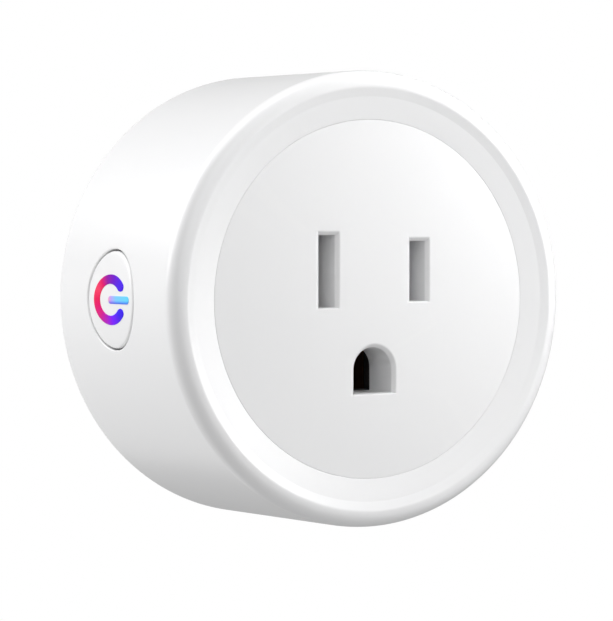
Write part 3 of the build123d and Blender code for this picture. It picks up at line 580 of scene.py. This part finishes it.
# face plate: the three-hole socket with its throats and screw posts
face = dict(
    radius=21.39, edge=0.06, thickness=2.2, slotWidth=2.2, lineSlot=6.95, neutralSlot=8.25, bevel=0.42,
    soft=0.4, groundRadius=2.65, groundFlat=2.55, throatDepth=5.6, throatWall=1.0,
    sill=0.3, sillShare=0.3,
    border=(-10.0, 0.0, 10.0, -13.5, -3.2, 9.5), postRadius=2.6, spigotRadius=1.85,
)


def makeFacePlate():
    front, back, throat = faceY, faceY + face["thickness"], faceY + face["throatDepth"]
    bevel, thick = face["bevel"], face["throatWall"]
    mouth = openProfile(
        [(3, front), (bevel, front), (0, front + bevel), (0, throat),
         (thick, throat), (thick, back), (3, back)],
        [0.1, face["soft"], face["soft"], 0.2, 0.2, 0.1, 0.1])
    left, middle, right, low, waist, high = face["border"]
    sill = (face["sill"], face["sillShare"])
    cells = [
        dict(x=(left, middle), z=(waist, high), profile=mouth,
             hole=slotHole(-bladeX, bladeZ, face["slotWidth"], face["neutralSlot"], *sill)),
        dict(x=(middle, right), z=(waist, high), profile=mouth,
             hole=slotHole(bladeX, bladeZ, face["slotWidth"], face["lineSlot"], *sill)),
        dict(x=(left, right), z=(low, waist), profile=mouth,
             hole=archHole(0.0, groundZ, face["groundRadius"], face["groundFlat"], *sill)),
    ]
    rim = openProfile([(0, front), (face["radius"], front), (face["radius"], back), (0, back)],
                      [0.1, face["edge"], 0.1, 0.1])
    patches = piercedPlate(cells, [left, middle, right], [low, waist, high], rim, front, back)
    # four posts, each with a thinner spigot through the board
    shoulder, end = boxOf("main_board")[0][1], plateHigh[1]
    post = openProfile([(0, back), (face["postRadius"], back), (face["postRadius"], shoulder),
                        (face["spigotRadius"], shoulder), (face["spigotRadius"], end), (0, end)],
                       [0.1, 0.05, 0.2, 0.1, 0.2, 0.1])
    post = np.concatenate([[(0, post[0, 1])], post, [(0, end)]])
    for x, z in ((-postX, -postZ), (-postX, postZ), (postX, -postZ), (postX, postZ)):
        patches.append((turned(post, fullTurn(48), (x, z)), False, True))
    return makePiece("facePlate", patches, "housing", "face_plastic", ["face_plate"])


makeFacePlate()

# rear cover with the prongs' holes and the screws' pockets
cover = dict(edge=0.35, bladeThickness=1.52, neutralWidth=7.94, lineWidth=6.35, slip=0.06, pinRadius=2.63,
             pocketRadius=2.5, pocketDepth=1.8, screwHole=1.35, soft=0.12,
             xs=(-18.5, -10.0, 0.0, 10.0, 18.5), zs=(-14.5, -3.2, 14.5))


def makeRearCover():
    outer, inner = 0.0, coverInnerY
    through = openProfile([(2, outer), (0, outer), (0, inner), (2, inner)], [0.1, cover["soft"], 0.05, 0.1])
    step = cover["screwHole"] - cover["pocketRadius"]
    seat = outer - cover["pocketDepth"]
    pocket = openProfile([(2, outer), (0, outer), (0, seat), (step, seat), (step, inner), (2, inner)],
                         [0.1, cover["soft"], 0.1, 0.1, 0.05, 0.1])
    x0, x1, x2, x3, x4 = cover["xs"]
    z0, z1, z2 = cover["zs"]
    gap = 2 * cover["slip"]
    cells = [
        dict(x=(x1, x2), z=(z1, z2), profile=through,
             hole=slotHole(-bladeX, bladeZ, cover["bladeThickness"] + gap, cover["neutralWidth"] + gap)),
        dict(x=(x2, x3), z=(z1, z2), profile=through,
             hole=slotHole(bladeX, bladeZ, cover["bladeThickness"] + gap, cover["lineWidth"] + gap)),
        dict(x=(x1, x3), z=(z0, z1), profile=through,
             hole=roundHole(0.0, groundZ, cover["pinRadius"] + cover["slip"])),
    ]
    for x, span in ((-postX, (x0, x1)), (postX, (x3, x4))):
        for z, rise in ((-postZ, (z0, z1)), (postZ, (z1, z2))):
            cells.append(dict(x=span, z=rise, profile=pocket, hole=roundHole(x, z, cover["pocketRadius"])))
    radius = coverHigh[2]
    rim = openProfile([(0, outer), (radius, outer), (radius, inner), (0, inner)],
                      [0.1, cover["edge"], 0.1, 0.1])
    patches = piercedPlate(cells, list(cover["xs"]), list(cover["zs"]), rim, outer, inner)
    return makePiece("rearCover", patches, "housing", "housing_plastic", ["rear_cover"])


makeRearCover()

# prongs
prong = dict(corner=0.18, tip=0.5, tipTaper=0.9, soft=0.12, core=0.7, foot=1.0, footMargin=1.0,
             footCorner=0.3, footGap=0.05,
             tailWidth=2.4, tailHalf=0.5, tailCorner=0.15, tailShift=2.0, tailSink=0.5)
earthPin = dict(radius=2.38, flange=3.38, flangeThickness=1.0, neck=1.2, neckLength=0.7, rivet=1.9,
                dome=1.9, segments=96)


def barPatch(x, z, halfX, halfZ, corner, profile):
    # a rounded rectangle carried along Y: each row is the rectangle less the profile's inset
    shares = [roundedOutline([(x - halfX + inset, z - halfZ + inset), (x - halfX + inset, z + halfZ - inset),
                              (x + halfX - inset, z + halfZ - inset), (x + halfX - inset, z - halfZ + inset)],
                             min(corner, 0.45 * (min(halfX, halfZ) - inset)), 6).reshape(-1, 2)
              for inset, y in profile]
    rows = [atHeight(towardAxis(shares[0], 0.0), profile[0][1])]
    rows += [atHeight(outline, y) for outline, (inset, y) in zip(shares, profile)]
    rows.append(atHeight(towardAxis(shares[-1], 0.0), profile[-1][1]))
    return np.stack(rows), False, True


def makeBlade(name, node, x, low, high):
    # three bars: the blade out of the back, its foot behind the cover and the solder tail through the board
    halfWidth = (high[2] - low[2]) / 2 - prong["footMargin"]
    halfThickness, margin = cover["bladeThickness"] / 2, prong["footMargin"]
    tipY, footY = high[1], coverInnerY - prong["footGap"]
    core, tip, footEnd, tailY = prong["core"], prong["tip"], footY - prong["foot"], footY - prong["tailSink"]
    blade = openProfile([(core, footY), (0, footY), (0, tipY - tip), (prong["tipTaper"] * tip, tipY),
                         (core, tipY)], [0.05, 0.02, 0.3, prong["soft"], 0.05], 6)
    foot = openProfile([(1, footY), (0, footY), (0, footEnd), (1, footEnd)], 0.1, 5)
    tail = openProfile([(1, tailY), (0, tailY), (0, low[1]), (1, low[1])], 0.1, 5)
    patches = [
        barPatch(x, bladeZ, halfThickness, halfWidth, prong["corner"], blade),
        barPatch(x, bladeZ, halfThickness + margin, halfWidth + margin, prong["footCorner"], foot),
        barPatch(x, bladeZ - prong["tailShift"], prong["tailHalf"], prong["tailWidth"] / 2,
                 prong["tailCorner"], tail),
    ]
    return makePiece(name, patches, "housing", "blade_brass", [node])


def makeGroundPin():
    # a (radius, y) profile turned about Y: the domed pin, its collar, its flange and the rivet inside
    tipY, footY, endY = pinHigh[1], coverInnerY - prong["footGap"], pinLow[1]
    rivetY = footY - earthPin["flangeThickness"]
    radius, collar, flange = earthPin["radius"], cover["pinRadius"], earthPin["flange"]
    neck, neckY, rivet = earthPin["neck"], rivetY - earthPin["neckLength"], earthPin["rivet"]
    pin = openProfile([(0, tipY), (radius, tipY), (radius, 0), (collar, 0), (collar, footY), (flange, footY),
                       (flange, rivetY), (neck, rivetY), (neck, neckY), (rivet, neckY), (rivet, endY),
                       (0, endY)],
                      [0.1, earthPin["dome"], 0.05, 0.1, 0.05, 0.15, 0.15, 0.05, 0.05, 0.1, 0.25, 0.1])
    pin = np.concatenate([[(0, tipY)], pin, [(0, endY)]])
    patch = turned(pin, fullTurn(earthPin["segments"]), (0.0, groundZ)), False, True
    return makePiece("groundPin", [patch], "housing", "blade_brass", ["ground_pin"])


makeBlade("neutralBlade", "neutral_blade", -bladeX, neutralLow, neutralHigh)
makeBlade("lineBlade", "line_blade", bladeX, lineLow, lineHigh)
makeGroundPin()

# rear screws: low cap heads with a six-sided drive
screw = dict(headHeight=1.5, drive=0.8, driveDepth=0.8, driveCone=1.15, driveEdge=0.08, driveFlare=1.1,
             shank=1.0, points=8)


def makeScrews():
    # rows of points stood at their own y: a hexagon down in the drive, flared at its mouth, then circles
    # that follow the head and the shank
    topY, endY = screwsHigh[1], screwsLow[1]
    angle = -fullTurn(6)
    hexagon = sidesOf(screw["drive"] * np.stack([np.cos(angle), np.sin(angle)], 1), [screw["points"]] * 6)
    round_ = -fullTurn(6 * screw["points"])
    circle = np.stack([np.cos(round_), np.sin(round_)], 1)
    underY = topY - screw["headHeight"]
    body = openProfile([(0, topY), (screwHead, topY), (screwHead, underY), (screw["shank"], underY),
                        (screw["shank"], endY), (0, endY)], [0.1, 0.3, 0.1, 0.1, 0.5, 0.1])
    rows = [atHeight(0 * hexagon, topY - screw["driveCone"] * screw["driveDepth"]),
            atHeight(hexagon, topY - screw["driveDepth"]),
            atHeight(hexagon, topY - screw["driveEdge"]),
            atHeight(screw["driveFlare"] * hexagon, topY)]
    rows += [atHeight(radius * circle, y) for radius, y in body]
    rows.append(atHeight(0 * circle, endY))
    one = np.stack(rows)
    patches = [(one + [x, 0, z], False, True) for x in (-postX, postX) for z in (-postZ, postZ)]
    return makePiece("rearScrews", patches, "housing", "screw_steel", ["rear_screws"], sharpAngle=35)


makeScrews()

# button cap: its front follows the barrel, its flange sits behind the wall
cap = dict(radius=5.8, edge=0.28, flangeRadius=6.7, flange=1.0, flangeShift=0.1, bore=5.05, wall=0.75,
           stem=1.7, sink=0.03, segments=96)


def makeCap():
    # rings about the button's axis: the face and its rounded edge take the barrel's own x at each point,
    # and the flange, the hollow back and the stem are flat rings at one x
    flangeX = barrelX(buttonY - cap["flangeRadius"], cap["flangeRadius"], shell["wall"]) + cap["flangeShift"]
    backX = flangeX + cap["flange"]
    insideX = barrelX(buttonY - cap["radius"], cap["radius"]) + cap["wall"]
    stemX = capHigh[0]
    angle = fullTurn(cap["segments"])

    def ring(radius, follow, x):
        # follow 1 hugs the barrel with x as a depth behind it, follow 0 stands flat at x
        y, z = buttonY + radius * np.cos(angle), radius * np.sin(angle)
        return np.stack([follow * barrelX(y, z) + x, y, z], -1)

    bend = np.linspace(0, np.pi / 2, 7)
    rows = [ring(share * (cap["radius"] - cap["edge"]), 1, cap["sink"]) for share in np.linspace(0, 1, 10)]
    edge = cap["edge"]
    rows += [ring(cap["radius"] - edge * (1 - math.sin(a)), 1, cap["sink"] + edge * (1 - math.cos(a)))
             for a in bend[1:]]
    # the profile starts well outside the cap, and that first corner's five points are left off
    solid = openProfile([(0, -30), (cap["radius"], -30), (cap["radius"], flangeX),
                         (cap["flangeRadius"], flangeX), (cap["flangeRadius"], backX), (cap["bore"], backX),
                         (cap["bore"], insideX), (cap["stem"], insideX), (cap["stem"], stemX),
                         (0, stemX)], 0.1, 5)
    rows += [ring(radius, 0, x) for radius, x in solid[5:]]
    rows.append(ring(0.0, 0, stemX))
    return makePiece("buttonCap", [(np.stack(rows), False, True)], "button", "cap_plastic", ["button_cap"])


makeCap()

# power symbol: a broken ring and a bar, standing a hair proud of the cap
icon = dict(ringFront=3.4, ringUp=2.45, widthFront=1.62, widthUp=1.15, endAngle=40.0,
            barStart=0.1, barEnd=4.35, barWidth=0.95, proud=0.06, depth=0.45, edge=0.08)


def inlay(path, across):
    # A section carried along a path on the barrel: at each station the half-width vector gives the
    # section's width. Past both ends the section shrinks by the cosine of a quarter turn and moves on
    # by its sine, so the ends are round.
    bend = np.linspace(0, np.pi / 2, 9)[1:, None]
    halfWidth = np.linalg.norm(across[[0, -1]], axis=1)
    headway = path[[1, -1]] - path[[0, -2]]
    headway /= np.linalg.norm(headway, axis=1, keepdims=True)
    before = path[0] - headway[0] * halfWidth[0] * np.sin(bend)
    after = path[-1] + headway[1] * halfWidth[1] * np.sin(bend)
    stations = np.concatenate([before[::-1], path, after])
    widths = np.concatenate([(across[0] * np.cos(bend))[::-1], across, across[-1] * np.cos(bend)])
    size = halfWidth.mean()
    section = roundedOutline([(-size, -icon["depth"]), (-size, icon["proud"]), (size, icon["proud"]),
                              (size, -icon["depth"])], [0.02, icon["edge"], icon["edge"], 0.02], 7)
    section = section.reshape(-1, 2)
    flat = stations[:, None] + widths[:, None] * (section[:, 0] / size)[None, :, None]
    y, z = buttonY - flat[..., 0], flat[..., 1]
    return np.stack([barrelX(y, z) + cap["sink"] - section[:, 1], y, z], -1), False, True


def makeIcon():
    # the ring's path is an ellipse, its half-axes times cosine and sine of an angle, open at the front
    angle = np.radians(np.linspace(icon["endAngle"], 360 - icon["endAngle"], 73))
    circle = np.stack([np.cos(angle), np.sin(angle)], 1)
    path = circle * [icon["ringFront"], icon["ringUp"]]
    across = circle * [icon["widthFront"] / 2, icon["widthUp"] / 2]
    makePiece("iconRing", [inlay(path, across)], "button", "light_guide", ["power_icon"])
    front = np.linspace(icon["barStart"], icon["barEnd"], 25)
    path = np.stack([front, 0 * front], 1)
    across = np.tile([0.0, icon["barWidth"] / 2], (len(front), 1))
    bar = makePiece("iconBar", [inlay(path, across)], "button", "light_guide")
    bar.data.materials[0] = barLight


makeIcon()
print("outside pieces made")

# windings: turns of enamelled wire over a solid bundle
winding = dict(relayWire=0.24, relayBore=2.15, drumWire=0.42, drumBore=1.8, perTurn=28, round=8,
               taper=30, bundleRound=0.05, bundleSegments=64)


def makeWinding(name, node, bore, wire):
    # A wire carried along a helix: the angle grows evenly with y, one turn for each wire's width, and
    # the wire's round section shrinks to a point at both ends.
    low, high = boxOf(node)
    x, z = (low[0] + high[0]) / 2, (low[2] + high[2]) / 2
    outer, radius = (high[0] - low[0]) / 2, wire / 2
    turns = int((high[1] - low[1]) / wire) - 1
    along = np.linspace(0, 1, turns * winding["perTurn"] + 1)
    angle = 2 * np.pi * turns * along
    height = low[1] + radius + (high[1] - low[1] - wire) * along
    thick = radius * np.minimum(1, winding["taper"] * np.minimum(along, 1 - along))[:, None]
    section = fullTurn(winding["round"])
    reach = outer - radius + thick * np.cos(section)
    wireGrid = np.stack([x + reach * np.cos(angle)[:, None], height[:, None] + thick * np.sin(section),
                         z + reach * np.sin(angle)[:, None]], -1)
    under = outer - wire
    bundle = roundedOutline([(under, low[1]), (under, high[1]), (bore, high[1]), (bore, low[1])],
                            winding["bundleRound"], 4).reshape(-1, 2)
    core = turned(bundle, fullTurn(winding["bundleSegments"]), (x, z))
    makePiece(name, [(wireGrid, False, True), (core, True, True)], "housing", "copper_wire", [node])


makeWinding("relayWinding", "relay_winding", winding["relayBore"], winding["relayWire"])
makeWinding("inductorWinding", "inductor_winding", winding["drumBore"], winding["drumWire"])

# capacitors: a sleeved can with a bung, a crimp groove and a recessed top
can = dict(bungShare=0.82, bungRise=0.6, grooveAt=2.2, grooveWidth=0.5, grooveDepth=0.3, rim=0.7,
           rimSlope=0.2, recess=0.25, segments=72)


def makeCapacitor(name, node, slotName):
    # a (radius, y) profile turned about Y, from the bung on the board out round the can to its top
    low, high = boxOf(node)
    x, z = (low[0] + high[0]) / 2, (low[2] + high[2]) / 2
    radius, base, top = (high[0] - low[0]) / 2, high[1], low[1]
    bung, bungY = can["bungShare"] * radius, base - can["bungRise"]
    inset, grooveY, groove = radius - can["grooveDepth"], base - can["grooveAt"], can["grooveWidth"]
    rim, topY = radius - can["rim"], top + can["recess"]
    profile = openProfile([(0, base), (bung, base), (bung, bungY), (radius, bungY),
                           (radius, grooveY + groove), (inset, grooveY),
                           (radius, grooveY - groove), (radius, top), (rim, top),
                           (rim - can["rimSlope"], topY), (0, topY)],
                          [0.1, 0.1, 0.1, 0.2, 0.15, 0.2, 0.15, 0.3, 0.12, 0.05, 0.1])
    profile = np.concatenate([[(0, base)], profile, [(0, topY)]])
    patch = turned(profile, fullTurn(can["segments"]), (x, z)), False, True
    makePiece(name, [patch], "housing", slotName, [node])


makeCapacitor("filterCapacitor", "filter_capacitor", "sleeve_black")
makeCapacitor("outputCapacitor", "output_capacitor", "can_aluminium")
print("windings and capacitors made")

# camera
camera = dict(azimuth=-29.78, elevation=1.74, distance=221.0, lens=107.5, aimRight=-8.10, aimUp=-1.31)


def makeCamera():
    a, e = math.radians(camera["azimuth"]), math.radians(camera["elevation"])
    right = Vector((math.cos(a), math.sin(a), 0))
    back = Vector((math.sin(a) * math.cos(e), -math.cos(a) * math.cos(e), math.sin(e)))
    up = back.cross(right)
    aim = Vector((0, faceY, 0)) + right * camera["aimRight"] + up * camera["aimUp"]
    data = bpy.data.cameras.new("camera")
    data.lens = camera["lens"]
    data.sensor_width = 36
    data.clip_start = 0.01
    view = bpy.data.objects.new("camera", data)
    turn = Matrix((right, up, back)).transposed().to_4x4()
    view.matrix_world = Matrix.Translation((aim + back * camera["distance"]) * mm) @ turn
    bpy.context.scene.collection.objects.link(view)
    bpy.context.scene.camera = view


makeCamera()

# studio: white all round, two lamps on the right, and wide soft ones in front, behind the left, above and low
studio = dict(
    ambient=0.41,
    backdropGlow=1.0,
    floorDrop=300.0,
    drum=((1, 0), (1600, 0), (2000, 120), (2100, 600), (2100, 3000), (1, 3200)),    # radius and height
    drumSegments=96,
    # name: azimuth and elevation seen from its aim, distance, aim, width, power in watts (mm, degrees)
    lamps={
        "nearRight": (57, 34, 116, (0, faceY, 0), 50, 0.077),
        "ringGloss": (50, 8, 400, (0, faceY, 0), 160, 0.36),
        "frontSoft": (-20, 22, 500, (0, faceY, 0), 400, 0.5),
        "sideLeft": (-125, 30, 500, (0, faceY / 2, 0), 440, 1.36),
        "overTop": (-95, 75, 500, (0, faceY / 2, 0), 400, 0.98),
        "lowLeft": (-135, -30, 500, (0, faceY / 2, 0), 800, 0.98),
    },
)


def makeLamp(name, azimuth, elevation, distance, aim, width, power):
    a, e = math.radians(azimuth), math.radians(elevation)
    away = Vector((math.sin(a) * math.cos(e), -math.cos(a) * math.cos(e), math.sin(e)))
    data = bpy.data.lights.new(name, "AREA")
    data.shape = "DISK"
    data.size = width * mm
    data.energy = power
    lamp = bpy.data.objects.new(name, data)
    lamp.location = (Vector(aim) + away * distance) * mm
    lamp.rotation_euler = away.to_track_quat("Z", "Y").to_euler()
    bpy.context.scene.collection.objects.link(lamp)


def makeBackdrop():
    # a tall white drum with a floor well below the part, seen by the camera only
    profile = np.array(studio["drum"], float)
    turn = fullTurn(studio["drumSegments"])
    grid = np.stack([profile[:, 0, None] * np.cos(turn), profile[:, 0, None] * np.sin(turn),
                     profile[:, 1, None] - studio["floorDrop"] + 0 * turn], -1)
    mesh = bpy.data.meshes.new("backdrop")
    faces = quadsOf(len(profile), len(turn), False, True)
    mesh.from_pydata((grid.reshape(-1, 3) * mm).tolist(), [], faces.tolist())
    material = bpy.data.materials.new("backdropWhite")
    material.use_nodes = True
    tree = material.node_tree
    tree.nodes.clear()
    glow = addNode(tree, "ShaderNodeEmission", Color=(1, 1, 1, 1), Strength=studio["backdropGlow"])
    end = addNode(tree, "ShaderNodeOutputMaterial")
    tree.links.new(glow.outputs[0], end.inputs[0])
    mesh.materials.append(material)
    backdrop = bpy.data.objects.new("backdrop", mesh)
    bpy.context.scene.collection.objects.link(backdrop)
    backdrop.visible_diffuse = False
    backdrop.visible_glossy = False
    backdrop.visible_transmission = False
    backdrop.visible_shadow = False


for lampName, lampSettings in studio["lamps"].items():
    makeLamp(lampName, *lampSettings)
makeBackdrop()
world = bpy.data.worlds.new("studio")
bpy.context.scene.world = world
world.use_nodes = True
world.node_tree.nodes["Background"].inputs["Color"].default_value = (1, 1, 1, 1)
world.node_tree.nodes["Background"].inputs["Strength"].default_value = studio["ambient"]
bpy.context.scene.view_settings.view_transform = "Standard"
print("studio and camera made")
